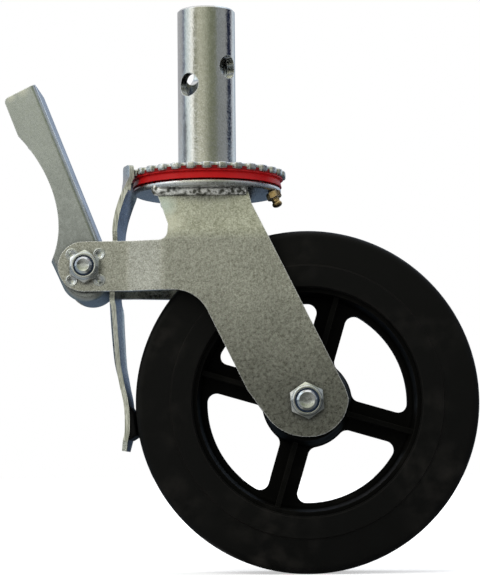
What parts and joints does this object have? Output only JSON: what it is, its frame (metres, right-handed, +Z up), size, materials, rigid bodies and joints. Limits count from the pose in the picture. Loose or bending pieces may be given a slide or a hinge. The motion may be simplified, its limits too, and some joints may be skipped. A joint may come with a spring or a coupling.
{
  "type": "scaffold castor",
  "caption": "Swivel stem castor for a scaffold tower: spoked rubber-tyred wheel in a steel fork, with a cam lever whose strap brakes the tread and the swivel together.",
  "frame": {"origin": "stem axis at the top face of the toothed swivel ring, where the scaffold tube's end rests", "axes": "+Z up along the stem; the wheel trails towards +X and the brake arm reaches towards -X; -Y is the side with the lock nuts"},
  "size_m": [0.2801, 0.0975, 0.3402],
  "materials": {
    "zinc_plate": "zinc plated, satin",
    "stem_steel": "bright zinc",
    "spring_steel": "zinc plated spring steel",
    "bearing_steel": "polished",
    "fastener_zinc": "bright zinc",
    "nylon": "dark blue nylon",
    "seal_red": "semi-gloss red",
    "brass": "dull",
    "cast_black": "black paint on a cast surface",
    "tyre_rubber": "moulded rubber",
    "pad_rubber": "matt"
  },
  "bodies": {
    "stem": {"stem_tube": "stem_steel", "ratchet_ring": "zinc_plate", "king_bolt": "fastener_zinc", "king_nut": "fastener_zinc", "lower_race": "zinc_plate", "dust_seal": "seal_red"},
    "fork": {"bearing_plate": "zinc_plate", "upper_balls": "bearing_steel", "lower_balls": "bearing_steel", "grease_nipple": "brass", "fork_leg_near": "zinc_plate", "fork_leg_far": "zinc_plate", "leg_welds": "zinc_plate", "axle_bolt": "fastener_zinc", "axle_nut": "fastener_zinc", "axle_nut_insert": "nylon", "axle_sleeve": "bearing_steel", "hub_washers": "fastener_zinc", "pivot_bolt": "fastener_zinc", "pivot_nut": "fastener_zinc", "pivot_nut_insert": "nylon", "pivot_sleeve": "bearing_steel"},
    "wheel": {"wheel_core": "cast_black", "tyre": "tyre_rubber", "hub_rollers": "bearing_steel", "roller_cage": "bearing_steel"},
    "lever": {"brake_lever": "zinc_plate"},
    "strap": {"brake_strap": "spring_steel", "brake_pad": "pad_rubber", "pad_rivets": "bearing_steel"}
  },
  "joints": [
    {"name": "swivel", "type": "hinge", "parent": "stem", "child": "fork", "pos_m": [0, 0, 0], "axis": [0, 0, 1], "continuous": true},
    {"name": "wheel_spin", "type": "hinge", "parent": "fork", "child": "wheel", "pos_m": [0.059, 0, -0.1397], "axis": [0, 1, 0], "continuous": true},
    {"name": "brake_lever_turn", "type": "hinge", "parent": "fork", "child": "lever", "pos_m": [-0.071, 0, -0.0593], "axis": [0, -1, 0], "range_deg": [0, 75], "deforming": ["brake_strap"]},
    {"name": "strap_press", "type": "slide", "parent": "fork", "child": "strap", "axis": [1, 0, 0], "range_m": [0, 0.0009]}
  ],
  "couplings": [
    {"joint": "strap_press", "follows": "brake_lever_turn", "m_per_rad": 0.0006875}
  ]
}
